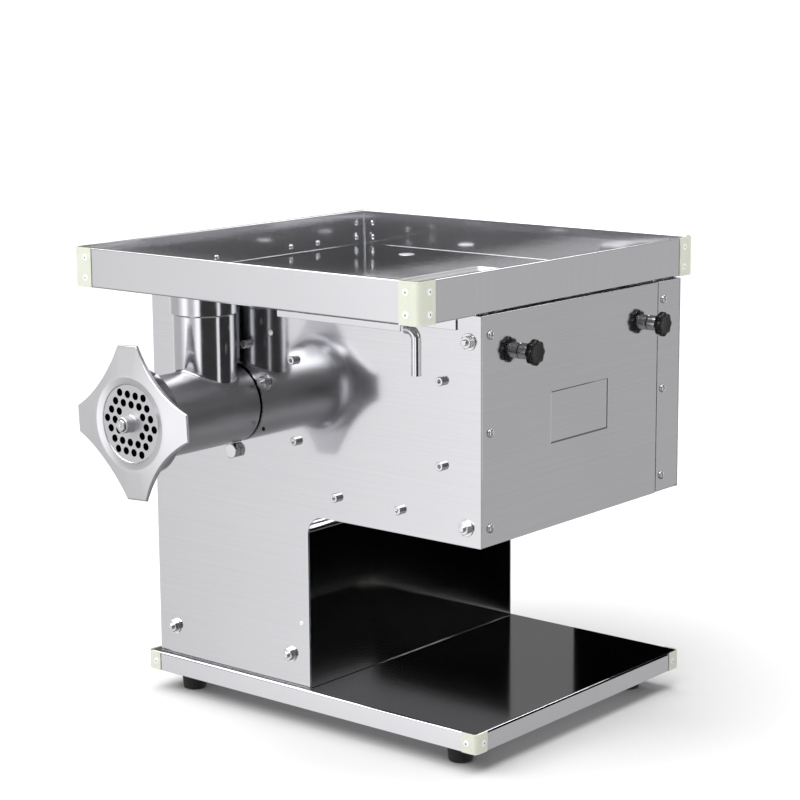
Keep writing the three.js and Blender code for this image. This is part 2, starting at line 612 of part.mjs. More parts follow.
// Stripper comb: fingers reach between the discs up to the shaft, from the side away from the other roller
function comb(first, side) {
  const [near, far, bar] = [11, 32, 39];
  const [x0, x1] = [INNER_PLATE.x1 + GAP, OUTER_PLATE.x0 - GAP];
  const points = [[x0, -bar], [x1, -bar], [x1, -far]];
  for (let i = KNIFE.count - 2; i >= 0; i--) {
    const middle = first + (i + 0.5) * KNIFE.pitch + KNIFE.thick / 2;
    points.push([middle + 5, -far], [middle + 5, -near], [middle - 5, -near], [middle - 5, -far]);
  }
  points.push([x0, -far]);
  const plate = extrude(outline(points), 3).translate(0, 0, -1.5);
  return side > 0 ? plate : plate.rotateX(Math.PI);
}

// Star knob: lobed head, collar and threaded stud, along +X
function knob() {
  const lobes = 8;
  const per = 4;
  const points = Array.from({ length: lobes * per }, (_, i) => {
    const a = (2 * Math.PI * i) / (lobes * per);
    const r = KNOBS.r - 0.7 + 0.7 * Math.cos(lobes * a);
    return [r * Math.cos(a), r * Math.sin(a)];
  });
  return join(
    extrudeX(outline(points), KNOBS.x0, KNOBS.x1),
    rod("x", KNOBS.shank, BODY.x1 + GAP, KNOBS.x0 + 1, SMALL),
    rod("x", 4.2, 203.5, BODY.x1 + 1, 12),
  );
}

// Switches on the left side, and the gland for the supply cord at the back
function buildControls() {
  SWITCHES.z.forEach((z, i) => {
    const x = BODY.x0;
    const y = SWITCHES.y;
    const name = ["grinder", "cutter"][i];
    const frame = cut(
      join(
        box(x - 2.3, x - GAP, y - 13, y + 13, z - 17, z + 17),
        box(x - 1, x + 22, y - 9.7, y + 9.7, z - 13.7, z + 13.7),
      ),
      box(x - 3, x + 20, y - 8, y + 8, z - 12, z + 12),
    );
    add(`switch_frame_${name}`, frame, blackPlastic);
    const rocker = outline([[-6, -11], [3, -11], [4.5, 0], [3, 11], [-6, 11], [-8, 0]]);
    const cap = add(`rocker_${name}`, extrudeY(rocker, -7.5, 7.5).rotateZ(Math.PI), blackPlastic);
    cap.position.set(x, y, z);
  });
  const gland = turned(
    [
      [0, 215], [GLAND.r, 215], [GLAND.r, BODY.y1 + GAP], [13, BODY.y1 + GAP], [13, BODY.y1 + 7], [8, BODY.y1 + 14],
      [4, BODY.y1 + 14], [4, BODY.y1 + 6], [0, BODY.y1 + 6],
    ],
    "y",
    SMALL,
  );
  gland.translate(GLAND.x, 0, GLAND.z);
  add("cord_gland", gland, blackPlastic);
}

buildBase();
buildPanels();
buildTray();
buildHead();
buildGrinderDrive();
buildCutterDrive();
buildDrawer();
buildControls();

export default grinder;
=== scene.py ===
import math

import bmesh
import bpy
from mathutils import Matrix, Vector


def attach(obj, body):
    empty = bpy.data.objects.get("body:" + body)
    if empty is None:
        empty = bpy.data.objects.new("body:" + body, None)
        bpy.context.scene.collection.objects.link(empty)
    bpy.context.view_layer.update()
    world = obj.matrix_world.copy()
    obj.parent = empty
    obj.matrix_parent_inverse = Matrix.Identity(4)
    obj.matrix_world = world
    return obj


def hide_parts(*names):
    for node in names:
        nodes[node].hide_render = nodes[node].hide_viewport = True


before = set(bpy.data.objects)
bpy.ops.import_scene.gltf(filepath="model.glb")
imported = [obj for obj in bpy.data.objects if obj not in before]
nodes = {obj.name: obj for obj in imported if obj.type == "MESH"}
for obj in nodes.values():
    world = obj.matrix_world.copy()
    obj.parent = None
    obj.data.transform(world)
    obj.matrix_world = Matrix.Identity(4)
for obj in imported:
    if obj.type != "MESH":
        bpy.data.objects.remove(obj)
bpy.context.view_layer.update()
mm = 0.001
print("frame loaded:", len(nodes), "nodes")

# ---- camera, light and floor

cameraSetup = {
    "place": (1436.4, -1690.5, 744.9),  # mm
    "azimuth": 39.76,
    "elevation": 10.78,
    "roll": -0.39,
    "lens": 99.74,
}


def makeCamera(setup):
    azimuth, elevation, roll = (math.radians(setup[k]) for k in ("azimuth", "elevation", "roll"))
    back = Vector((math.sin(azimuth) * math.cos(elevation),
                   -math.cos(azimuth) * math.cos(elevation), math.sin(elevation)))
    right = Vector((math.cos(azimuth), math.sin(azimuth), 0))
    up = back.cross(right)
    turnedRight = right * math.cos(roll) + up * math.sin(roll)
    turnedUp = up * math.cos(roll) - right * math.sin(roll)
    bpy.ops.object.camera_add()
    camera = bpy.context.object
    camera.data.sensor_width = 36
    camera.data.lens = setup["lens"]
    camera.data.clip_end = 300
    axes = Matrix((turnedRight, turnedUp, back)).transposed().to_4x4()
    camera.matrix_world = Matrix.Translation(Vector(setup["place"]) * mm) @ axes
    bpy.context.scene.camera = camera


def srgb(text):
    channels = [int(text[i : i + 2], 16) / 255 for i in (1, 3, 5)]
    return [c / 12.92 if c <= 0.04045 else ((c + 0.055) / 1.055) ** 2.4 for c in channels] + [1]


def addNode(tree, kind, values=None, links=None, **settings):
    node = tree.nodes.new(kind)
    for key, value in settings.items():
        setattr(node, key, value)
    for key, value in (values or {}).items():
        node.inputs[key].default_value = value
    for key, (source, output) in (links or {}).items():
        tree.links.new(source.outputs[output], node.inputs[key])
    return node


def clearSelection():
    bpy.ops.object.select_all(action="DESELECT")


# a box between two corners in mm
def block(name, low, high):
    clearSelection()
    size = Vector(high) - Vector(low)
    bpy.ops.mesh.primitive_cube_add(size=1, location=(Vector(low) + Vector(high)) / 2 * mm, scale=size * mm)
    piece = bpy.context.object
    piece.name = name
    bpy.ops.object.transform_apply(location=True, rotation=True, scale=True)
    return piece


studio = {
    "floorColor": "#f7f7f7",
    "floorReach": 80,  # metres
    "skyTone": 0.15,
    "underTone": 0.3,  # steeply below the horizon
    # brightness of the room below the horizon, by compass angle in degrees from +X
    "room": [
        (-180, 0.64), (-142, 0.66), (-127, 1.1), (-117, 1.6), (-107, 1.5),
        (-98, 0.72), (-83, 0.72), (-74, 1.5), (-64, 1.6),
        (-57, 0.05), (-3, 0.05), (1, 1.2), (11, 1.2), (16, 0.52),
        (62, 0.5), (80, 1.0), (160, 0.9), (180, 0.64),
    ],
    "sunPower": 3.7,
    "sunFrom": (-0.18, -0.28, 0.94),
    "sunSpread": 80,
    "keyPower": 9,
    "rimPower": 5,
    "backPower": 9,
    # dark cards that paint the left-out bowl's shade into the reflections of the steel
    "flags": [
        ("flagBeside", (258, -90, 22), (260, 330, 165)),
        ("flagBehind", (35, 300, 19), (258, 302, 190)),
    ],
}


# polished sheet mirrors the room and not the floor, so its tone is set by the room alone
def makeFloor(setup):
    bpy.ops.mesh.primitive_plane_add(size=2 * setup["floorReach"], location=(0, 0, 0))
    floor = bpy.context.object
    floor.name = "floor"
    floor.visible_glossy = False
    paper = bpy.data.materials.new("paper backdrop")
    paper.use_nodes = True
    shader = paper.node_tree.nodes["Principled BSDF"]
    shader.inputs["Base Color"].default_value = srgb(setup["floorColor"])
    shader.inputs["Roughness"].default_value = 0.9
    shader.inputs["Specular IOR Level"].default_value = 0
    floor.data.materials.append(paper)


# black cards behind and beside the bowl space, which only the steel under the upper box sees: painted shade,
# standing in for the shadow of the bowl that is left out
def makeFlags(setup):
    shadeFelt = bpy.data.materials.new("painted shade felt")
    shadeFelt.use_nodes = True
    shader = shadeFelt.node_tree.nodes["Principled BSDF"]
    shader.inputs["Base Color"].default_value = srgb("#030303")
    shader.inputs["Roughness"].default_value = 1
    shader.inputs["Specular IOR Level"].default_value = 0
    for name, low, high in setup["flags"]:
        card = block(name, low, high)
        card.visible_camera = card.visible_diffuse = card.visible_shadow = False
        card.data.materials.append(shadeFelt)


# the room is lit in sectors below the horizon and dim above it,
# so upright steel is bright and the tray floor dark
def makeRoom(setup):
    world = bpy.data.worlds.new("studio")
    bpy.context.scene.world = world
    world.use_nodes = True
    tree = world.node_tree
    tree.nodes.clear()
    coords = addNode(tree, "ShaderNodeTexCoord")
    parts = addNode(tree, "ShaderNodeSeparateXYZ", links={"Vector": (coords, "Generated")})
    compass = addNode(tree, "ShaderNodeMath", operation="ARCTAN2", links={0: (parts, "Y"), 1: (parts, "X")})
    turn = addNode(
        tree, "ShaderNodeMapRange", links={"Value": (compass, "Value")},
        values={"From Min": -math.pi, "From Max": math.pi}
    )
    ramp = addNode(tree, "ShaderNodeValToRGB", links={"Fac": (turn, "Result")})
    stops = ramp.color_ramp.elements
    while len(stops) < len(setup["room"]):
        stops.new(0.5)
    for stop, (degrees, tone) in zip(stops, setup["room"]):
        stop.position = (degrees + 180) / 360
        stop.color = (tone, tone, tone * 1.01, 1)
    rise = addNode(tree, "ShaderNodeMapRange", links={"Value": (parts, "Z")},
                   values={"From Min": 0.06, "From Max": 0.17})
    sky = setup["skyTone"]
    blend = addNode(
        tree, "ShaderNodeMix", data_type="RGBA", values={7: (sky, sky, sky, 1)},
        links={"Factor": (rise, "Result"), 6: (ramp, "Color")},
    )
    fall = addNode(tree, "ShaderNodeMapRange", links={"Value": (parts, "Z")},
                   values={"From Min": -0.3, "From Max": -0.65})
    under = setup["underTone"]
    whole = addNode(
        tree, "ShaderNodeMix", data_type="RGBA", values={7: (under, under, under, 1)},
        links={"Factor": (fall, "Result"), 6: (blend, 2)},
    )
    background = addNode(tree, "ShaderNodeBackground", links={"Color": (whole, 2)})
    addNode(tree, "ShaderNodeOutputWorld", links={"Surface": (background, "Background")})


def aimed(lamp, place, target=(0, 0, 0.3)):
    lamp.rotation_euler = (Vector(place) - Vector(target)).to_track_quat("Z", "Y").to_euler()


def makeLamps(setup):
    bpy.ops.object.light_add(type="SUN", location=(0, 0, 3))
    sun = bpy.context.object
    sun.data.energy = setup["sunPower"]
    sun.data.angle = math.radians(setup["sunSpread"])
    aimed(sun, setup["sunFrom"], (0, 0, 0))
    for name, place, size, power in [
        ("keySoftbox", (-1.6, -2.2, 1.9), (1.1, 1.1), setup["keyPower"]),
        ("rimSoftbox", (2.4, 0.4, 1.7), (0.4, 1.2), setup["rimPower"]),
        ("backSoftbox", (0.9, 2.4, 2.3), (0.8, 0.8), setup["backPower"]),
    ]:
        bpy.ops.object.light_add(type="AREA", location=place)
        lamp = bpy.context.object
        lamp.name = name
        lamp.data.shape = "RECTANGLE"
        lamp.data.size, lamp.data.size_y = size
        lamp.data.energy = power
        aimed(lamp, place)


makeCamera(cameraSetup)
makeFloor(studio)
makeFlags(studio)
makeRoom(studio)
makeLamps(studio)
bpy.context.scene.view_settings.view_transform = "Standard"
print("camera and studio made")

# ---- materials


def metalOrPlastic(name, look):
    # one surface with a grain: streaks or specks that shift the colour, the roughness and the height a little
    material = bpy.data.materials.new(name)
    material.use_nodes = True
    tree = material.node_tree
    shader = tree.nodes["Principled BSDF"]
    for socket, value in look.get("sockets", {}).items():
        shader.inputs[socket].default_value = value
    coords = addNode(tree, "ShaderNodeTexCoord")
    stretch = addNode(
        tree, "ShaderNodeMapping", values={"Scale": [1000 / s for s in look["grainMm"]]},
        links={"Vector": (coords, "Object")}
    )
    grain = addNode(
        tree, "ShaderNodeTexNoise", values={"Scale": 1, "Detail": 4, "Roughness": 0.6},
        links={"Vector": (stretch, "Vector")}
    )
    cloud = addNode(
        tree, "ShaderNodeTexNoise", values={"Scale": 1000 / look["cloudMm"], "Detail": 2},
        links={"Vector": (coords, "Object")}
    )
    both = addNode(
        tree, "ShaderNodeMix", data_type="FLOAT", values={"Factor": look.get("cloudShare", 0.5)},
        links={2: (grain, "Fac"), 3: (cloud, "Fac")},
    )
    tone = addNode(
        tree, "ShaderNodeMix", data_type="RGBA", values={6: srgb(look["dark"]), 7: srgb(look["light"])},
        links={"Factor": (both, 0)},
    )
    low, high = look["roughness"]
    polish = addNode(
        tree, "ShaderNodeMapRange", links={"Value": (both, 0)},
        values={"From Min": 0.3, "From Max": 0.7, "To Min": low, "To Max": high},
    )
    bump = addNode(
        tree, "ShaderNodeBump", links={"Height": (grain, "Fac")},
        values={"Strength": look.get("bump", 0.1), "Distance": look.get("heightMm", 0.05) * mm},
    )
    tree.links.new(tone.outputs[2], shader.inputs["Base Color"])
    tree.links.new(polish.outputs["Result"], shader.inputs["Roughness"])
    tree.links.new(bump.outputs["Normal"], shader.inputs["Normal"])
    return material


metal = {"Metallic": 1}
looks = {
    # 304 stainless sheet with a fine horizontal brushed grain: soft mirror with long faint streaks
    "uprightSheet": metalOrPlastic("satin stainless upright", {
        "sockets": metal, "dark": "#d2d2d5", "light": "#e6e6e8", "roughness": (0.08, 0.13),
        "grainMm": (160, 160, 1.6), "cloudMm": 220, "bump": 0.06, "heightMm": 0.02,
    }),
    # the same sheet lying flat, its grain across the machine
    "flatSheet": metalOrPlastic("satin stainless flat", {
        "sockets": metal, "dark": "#dadadd", "light": "#ebebed", "roughness": (0.07, 0.12),
        "grainMm": (160, 1.6, 160), "cloudMm": 220, "bump": 0.06, "heightMm": 0.02,
    }),
    # investment-cast stainless, tumbled and polished: bright with a slow waviness
    "polishedCasting": metalOrPlastic("polished cast stainless", {
        "sockets": metal, "dark": "#c4c4c8", "light": "#dcdcdf", "roughness": (0.09, 0.17),
        "grainMm": (9, 9, 9), "cloudMm": 34, "bump": 0.12, "heightMm": 0.12,
    }),
    # cast and bead-blasted stainless: even satin with a very fine grain
    "satinCasting": metalOrPlastic("satin cast stainless", {
        "sockets": metal, "dark": "#dcdcdf", "light": "#eeeef0", "roughness": (0.26, 0.36),
        "grainMm": (0.9, 0.9, 0.9), "cloudMm": 40, "cloudShare": 0.35, "bump": 0.1, "heightMm": 0.012,
    }),
    # the turned outside of the head: a soft grey sheen with no sharp mirror
    "turnedCasting": metalOrPlastic("turned cast stainless", {
        "sockets": metal, "dark": "#c6c6ca", "light": "#dadadd", "roughness": (0.3, 0.38),
        "grainMm": (60, 1.2, 60), "cloudMm": 40, "cloudShare": 0.4, "bump": 0.06, "heightMm": 0.02,
    }),
    # glass-bead-blasted sheet, pale and almost without a mirror
    "blastedSheet": metalOrPlastic("bead blasted stainless", {
        "sockets": metal, "dark": "#dcdcde", "light": "#eeeeef", "roughness": (0.5, 0.6),
        "grainMm": (0.8, 0.8, 0.8), "cloudMm": 60, "cloudShare": 0.4, "bump": 0.06, "heightMm": 0.01,
    }),
    # hardened plate and blades, surface-ground
    "groundSteel": metalOrPlastic("ground tool steel", {
        "sockets": metal, "dark": "#cfcfd2", "light": "#e2e2e4", "roughness": (0.44, 0.52),
        "grainMm": (1.2, 30, 1.2), "cloudMm": 30, "bump": 0.05, "heightMm": 0.004,
    }),
    # turned and plated screws, studs and pins
    "brightSteel": metalOrPlastic("bright plated steel", {
        "sockets": metal, "dark": "#cfcfd2", "light": "#e9e9eb", "roughness": (0.1, 0.2),
        "grainMm": (2, 2, 2), "cloudMm": 8, "bump": 0.05, "heightMm": 0.004,
    }),
    # blind rivets of soft aluminium, domed and barrel-finished
    "aluminium": metalOrPlastic("tumbled aluminium", {
        "sockets": {"Metallic": 0.1}, "dark": "#fafafa", "light": "#ffffff", "roughness": (0.34, 0.42),
        "grainMm": (1.5, 1.5, 1.5), "cloudMm": 6, "bump": 0.05, "heightMm": 0.01,
    }),
    # zinc-plated screws and nuts, bright with a soft edge
    "zincPlated": metalOrPlastic("zinc plated steel", {
        "sockets": metal, "dark": "#dededf", "light": "#f0f0f1", "roughness": (0.2, 0.3),
        "grainMm": (2, 2, 2), "cloudMm": 8, "bump": 0.05, "heightMm": 0.004,
    }),
    # ABS corner angles, moulded pale green-cream with a light haze
    "capPlastic": metalOrPlastic("moulded ABS pale", {
        "sockets": {"IOR": 1.53, "Subsurface Weight": 0.08, "Subsurface Scale": 0.004},
        "dark": "#d8dac8", "light": "#e5e7d8", "roughness": (0.36, 0.5),
        "grainMm": (1.5, 1.5, 1.5), "cloudMm": 14, "bump": 0.08, "heightMm": 0.03,
    }),
    # phenolic knobs and nylon switches, moulded black with a gloss
    "glossBlack": metalOrPlastic("moulded phenolic black", {
        "sockets": {"IOR": 1.5}, "dark": "#050506", "light": "#0b0b0c", "roughness": (0.2, 0.32),
        "grainMm": (1.2, 1.2, 1.2), "cloudMm": 10, "bump": 0.06, "heightMm": 0.03,
    }),
    # nitrile rubber feet, dull and slightly dusty
    "rubber": metalOrPlastic("nitrile rubber", {
        "sockets": {"IOR": 1.52}, "dark": "#121212", "light": "#262624", "roughness": (0.6, 0.8),
        "grainMm": (0.8, 0.8, 0.8), "cloudMm": 9, "bump": 0.2, "heightMm": 0.05,
    }),
    # grey stoving enamel on the motor cases
    "enamel": metalOrPlastic("grey enamel", {
        "sockets": {"IOR": 1.5, "Coat Weight": 0.3}, "dark": "#565b61",
        "light": "#6b7076", "roughness": (0.35, 0.5),
        "grainMm": (1.5, 1.5, 1.5), "cloudMm": 20, "bump": 0.15, "heightMm": 0.05,
    }),
    # near-black steel standing for shade: painted shade in holes, gaps and recesses
    "paintedShadeSteel": metalOrPlastic("painted shade steel", {
        "sockets": metal, "dark": "#1c1c1e", "light": "#303033", "roughness": (0.3, 0.45),
        "grainMm": (1, 1, 1), "cloudMm": 6, "bump": 0.05, "heightMm": 0.02,
    }),
}
print("materials made:", len(looks))

# ---- modelling helpers


def activate(piece):
    clearSelection()
    piece.select_set(True)
    bpy.context.view_layer.objects.active = piece


# rings of points, each extruded from the last; an unclosed loft gets a flat face at each end
def loft(name, rings, closed=False):
    clearSelection()
    bpy.ops.mesh.primitive_circle_add(vertices=len(rings[0]), radius=mm)
    piece = bpy.context.object
    piece.name = name
    bpy.ops.object.mode_set(mode="EDIT")
    mesh = bmesh.from_edit_mesh(piece.data)
    around = mesh.verts.layers.int.new("around")
    for number, vertex in enumerate(mesh.verts):
        vertex[around] = number
        vertex.co = rings[0][number]
    for ring in rings[1:]:
        bpy.ops.mesh.extrude_edges_move()
        mesh = bmesh.from_edit_mesh(piece.data)
        around = mesh.verts.layers.int["around"]
        for vertex in mesh.verts:
            if vertex.select:
                vertex.co = ring[vertex[around]]
    bpy.ops.mesh.select_all(action="SELECT")
    if not closed:
        bpy.ops.mesh.fill_holes(sides=0)
    bpy.ops.mesh.remove_doubles(threshold=1e-6)
    bpy.ops.mesh.normals_make_consistent(inside=False)
    bpy.ops.object.mode_set(mode="OBJECT")
    piece.data.attributes.remove(piece.data.attributes["around"])
    return piece


def along(axis, a, b, h):
    return {"x": (h, a, b), "y": (a, h, b), "z": (a, b, h)}[axis]


def circle(axis, centre, radius, height, sides):
    steps = [2 * math.pi * i / sides for i in range(sides)]
    ring = [Vector(along(axis, radius * math.cos(t), radius * math.sin(t), height)) for t in steps]
    return [(point + Vector(along(axis, centre[0], centre[1], 0))) * mm for point in ring]


# profile of (radius, height) pairs in mm, turned about an axis through centre
def turned(name, profile, axis="z", centre=(0, 0), sides=72):
    closed = profile[0] == profile[-1]
    return loft(name, [circle(axis, centre, r, h, sides) for r, h in profile], closed)


# outline of (a, b) pairs in mm, drawn square to the axis and pulled from low to high
def plate(name, outline, axis, low, high):
    return loft(name, [[Vector(along(axis, a, b, h)) * mm for a, b in outline] for h in (low, high)])


def applyModifier(piece, kind, **settings):
    activate(piece)
    modifier = piece.modifiers.new(kind.lower(), kind)
    for key, value in settings.items():
        setattr(modifier, key, value)
    bpy.ops.object.modifier_apply(modifier=modifier.name)
    return piece


def softenEdges(piece, width, segments=3, angle=28):
    return applyModifier(
        piece, "BEVEL", width=width * mm, segments=segments, limit_method="ANGLE",
        angle_limit=math.radians(angle), use_clamp_overlap=True,
    )


def joined(pieces, name):
    activate(pieces[0])
    for piece in pieces[1:]:
        piece.select_set(True)
    bpy.ops.object.join()
    pieces[0].name = name
    return pieces[0]


def carve(piece, tools):
    tool = joined(tools, "tool") if len(tools) > 1 else tools[0]
    applyModifier(piece, "BOOLEAN", object=tool, operation="DIFFERENCE", solver="EXACT")
    bpy.data.objects.remove(tool)
    return piece


def settle(piece, name, body, look, stands=(), angle=35):
    activate(piece)
    piece.name = name
    bpy.ops.object.transform_apply(location=True, rotation=True, scale=True)
    bpy.ops.object.shade_smooth_by_angle(angle=math.radians(angle))
    applyModifier(piece, "WEIGHTED_NORMAL", mode="FACE_AREA", weight=60, keep_sharp=True)
    piece.data.materials.clear()
    piece.data.materials.append(looks[look])
    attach(piece, body)
    if stands:
        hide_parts(*stands)
    return piece


# a copy of a frame piece with its loose triangles merged, its flats made whole and its edges softened
def refined(node, width, segments=2, angle=28):
    piece = bpy.data.objects.new(node + "Finish", nodes[node].data.copy())
    bpy.context.scene.collection.objects.link(piece)
    activate(piece)
    bpy.ops.object.mode_set(mode="EDIT")
    bpy.ops.mesh.select_all(action="SELECT")
    bpy.ops.mesh.remove_doubles(threshold=1e-5)
    bpy.ops.mesh.dissolve_limited(angle_limit=math.radians(0.6))
    bpy.ops.object.mode_set(mode="OBJECT")
    if width:
        softenEdges(piece, width, segments, angle)
    return piece


# copies of one master, each with its own mesh, stood at (place in mm, outward normal, twist) and joined
def scattered(master, places, name):
    copies = []
    for place, normal, twist in places:
        copy = master.copy()
        copy.data = master.data.copy()
        turn = Vector(normal).to_track_quat("Z", "Y").to_matrix().to_4x4()
        copy.data.transform(Matrix.Translation(Vector(place) * mm) @ turn @ Matrix.Rotation(twist, 4, "Z"))
        bpy.context.scene.collection.objects.link(copy)
        copies.append(copy)
    bpy.data.objects.remove(master)
    return joined(copies, name)


def hexagon(radius, turn=0):
    return [(radius * math.cos(turn + math.pi * i / 3), radius * math.sin(turn + math.pi * i / 3))
            for i in range(6)]


# ---- sheet metal body

sheet = {"thick": 1.5, "edge": 0.35}
body = {"left": -216, "front": -105, "back": 231}
knob = {"z": 401, "front": -43, "rear": 174, "radius": 12.5, "lobes": 8, "start": 225.6, "end": 233.7}

for node, look in {
    "front_panel": "uprightSheet", "rear_panel": "uprightSheet", "left_panel": "uprightSheet",
    "recess_wall": "uprightSheet", "bulkhead": "uprightSheet", "overhang_floor": "flatSheet",
    "rear_side_strip": "uprightSheet", "tray_bracket": "flatSheet",
    "lock_bar": "flatSheet", "rail_front": "flatSheet", "rail_rear": "flatSheet",
}.items():
    settle(refined(node, sheet["edge"]), node + "Finish", "casing", look, [node])

cover = {"left": -103.2, "right": 188.5, "bottom": 221.8, "top": 440.7, "outside": 214}
badge = {"left": 5, "right": 101, "bottom": 304, "top": 355, "slope": 1.3, "depth": 1}
knobHole = 4.8  # radius


def makeCover():
    piece = block("cover", (cover["outside"] - sheet["thick"], cover["left"], cover["bottom"]),
                  (cover["outside"], cover["right"], cover["top"]))
    activate(piece)
    bpy.ops.object.mode_set(mode="EDIT")
    for normal, at in [((0, 1, 0), badge["left"]), ((0, 1, 0), badge["right"]),
                       ((0, 0, 1), badge["bottom"]), ((0, 0, 1), badge["top"])]:
        bpy.ops.mesh.select_all(action="SELECT")
        bpy.ops.mesh.bisect(plane_co=Vector(normal) * at * mm, plane_no=normal)
    bpy.ops.mesh.select_all(action="DESELECT")
    bpy.ops.object.mode_set(mode="OBJECT")
    centre = ((badge["left"] + badge["right"]) / 2, (badge["bottom"] + badge["top"]) / 2)
    middle = Vector((cover["outside"], *centre)) * mm
    for face in piece.data.polygons:
        face.select = (face.center - middle).length < 1 * mm
    bpy.ops.object.mode_set(mode="EDIT")
    bpy.ops.mesh.select_mode(type="FACE")
    bpy.ops.mesh.inset(thickness=badge["slope"] * mm)
    bpy.ops.transform.translate(value=(-badge["depth"] * mm, 0, 0))
    bpy.ops.object.mode_set(mode="OBJECT")
    softenEdges(piece, 0.3, 2, 20)
    ends = [(knobHole, cover["outside"] - 4), (knobHole, cover["outside"] + 2)]
    holes = [turned("hole", ends, "x", (y, knob["z"]), 48) for y in (knob["front"], knob["rear"])]
    carve(piece, holes)
    return settle(piece, "sideCover", "drawer", "uprightSheet", ["side_cover"], 20)


makeCover()
print("body panels made")

# ---- pans: tray and base, folded from sheet with a safe edge

tray = {"x": (-237.7, 209.1), "y": (-188.5, 258.1), "z": (441, 481.3), "corner": 4, "bend": 1.9, "hem": 11}
base = {"x": (-227.6, 213.3), "y": (-111.6, 238), "z": (22, 42), "corner": 4, "bend": 2.5, "hem": 0}


def roundedRing(pan, inset, z, steps=6):
    radius = pan["corner"] - inset
    ring = []
    for k, (sx, sy) in enumerate([(1, 1), (-1, 1), (-1, -1), (1, -1)]):
        cx = pan["x"][sx > 0] - sx * pan["corner"]
        cy = pan["y"][sy > 0] - sy * pan["corner"]
        for i in range(steps + 1):
            angle = math.pi / 2 * (k + i / steps)
            ring.append(Vector((cx + radius * math.cos(angle), cy + radius * math.sin(angle), z)) * mm)
    return ring


def panShell(name, pan, upsideDown=False):
    z0, z1 = pan["z"]
    bend, thick, hem = pan["bend"], sheet["thick"], pan["hem"]
    outer = [(bend * (1 - math.sin(t)), z0 + bend * (1 - math.cos(t)))
             for t in map(math.radians, (0, 22, 45, 68, 90))]
    inner = [(thick + (bend - thick) * (1 - math.sin(t)), z0 + bend - (bend - thick) * math.cos(t))
             for t in map(math.radians, (90, 45, 0))]
    if hem:
        fold = [(thick * (1 - math.cos(t)), z1 - thick + thick * math.sin(t))
                for t in map(math.radians, range(0, 181, 30))]
        rim = fold + [(2 * thick, z1 - hem), (thick + 0.15, z1 - hem)]
    else:
        rim = [(0, z1 - 0.4), (0.4, z1), (thick - 0.4, z1), (thick, z1 - 0.4)]
    profile = outer + rim + inner
    if upsideDown:
        profile = [(inset, z0 + z1 - z) for inset, z in profile]
    return loft(name, [roundedRing(pan, inset, z) for inset, z in profile])


head = {"x": -102.8, "z": 324.7, "barrel": 40.4, "throatY": -143,
        "throat": 31.6, "throatBore": 28.6, "top": 440.5}
throatAt = (head["x"], head["throatY"])
hopperHole = ((22.7, -55.3, 438), (190.3, 139.3, 446))

trayShell = panShell("trayShell", tray)
carve(trayShell, [turned("hole", [(head["throatBore"], 438), (head["throatBore"], 446)], "z", throatAt),
                  block("hole", *hopperHole)])
settle(trayShell, "feedTray", "casing", "flatSheet", ["feed_tray"], 40)
settle(panShell("basePan", base, True), "basePan", "casing", "flatSheet", ["base_pan"], 40)


# the hopper drops through the tray, hangs by a rolled flange and narrows towards the rollers
hopper = {"x": (23, 190), "y": (-55, 139), "neck": (-20, 104), "low": 381,
          "deck": 442.6, "roll": 2.2, "flange": 6.5}


def makeHopper():
    def ringAt(wider, z, neck=False, corner=3):
        ys = hopper["neck"] if neck else hopper["y"]
        box = {"x": (hopper["x"][0] - wider, hopper["x"][1] + wider),
               "y": (ys[0] - wider, ys[1] + wider), "corner": corner}
        return roundedRing(box, 0, z)

    deck, roll, wide, thick = hopper["deck"], hopper["roll"], hopper["flange"], sheet["thick"]
    rings = [ringAt(0, hopper["low"], True), ringAt(0, deck - 9),
             ringAt(0, deck), ringAt(wide, deck, corner=6)]
    for degrees in range(0, 181, 30):
        t = math.radians(degrees)
        rings.append(ringAt(wide - roll + roll * math.cos(t), deck + roll + roll * math.sin(t), corner=6))
    rings += [ringAt(0, deck + thick, corner=4), ringAt(-thick, deck + 0.4), ringAt(-thick, deck - 9)]
    rings += [ringAt(-thick, hopper["low"], True), rings[0]]
    return loft("hopper", rings, True)


settle(makeHopper(), "hopperFinish", "casing", "blastedSheet", ["hopper"], 40)


# plastic corner angles with rounded backs
def cornerAngle(pan, leg, sx, sy, name):
    z0, z1 = pan["z"]
    gap, wall, back = 0.15, 0.8, 4.6
    x, y = pan["x"][sx > 0] + sx * gap, pan["y"][sy > 0] + sy * gap
    outline = [(x + sx * wall, y - sy * leg), (x, y - sy * leg)]
    cx, cy = x - sx * (back - wall), y - sy * (back - wall)
    for radius, (first, last) in [(back - wall, (0, 1)), (back, (1, 0))]:
        turns = [(first + (last - first) * i / 6) * math.pi / 2 for i in range(7)]
        outline += [(cx + sx * radius * math.cos(t), cy + sy * radius * math.sin(t)) for t in turns]
        if first == 0:
            outline += [(x - sx * leg, y), (x - sx * leg, y + sy * wall)]
    piece = plate(name, outline, "z", z0, z1)
    return softenEdges(piece, 0.3, 2, 40)


for prefix, pan, leg in [("tray", tray, 23), ("base", base, 17)]:
    for side, sx in [("left", -1), ("right", 1)]:
        for end, sy in [("front", -1), ("rear", 1)]:
            node = f"{prefix}_corner_cap_{end}_{side}"
            piece = cornerAngle(pan, leg, sx, sy, node)
            settle(piece, node + "Finish", "casing", "capPlastic", [node], 30)
print("tray, base and corner caps made")

# ---- fasteners

fastener = {
    "rivet": 3.5, "rivetHigh": 0.85, "mandrel": 1.5, "mandrelHigh": 0.55,
    "socketHead": 4.4, "socketHigh": 5.2, "panHead": 4.3, "panHigh": 2.6,
}
# how far along each leg of the corner angles, and at what heights
capRivets = {"tray": {"leg": 14.5, "heights": (450.5, 471)}, "base": {"leg": 11, "heights": (31.5,)}}


def rivetMaster(radius, high, hole=0.95):
    profile = [(hole, high * 0.3), (hole, high), (radius * 0.5, high * 0.93), (radius * 0.8, high * 0.66),
               (radius, high * 0.15), (radius, -0.4), (0, -0.4), (0, high * 0.3), (hole, high * 0.3)]
    return turned("rivet", profile, sides=24)


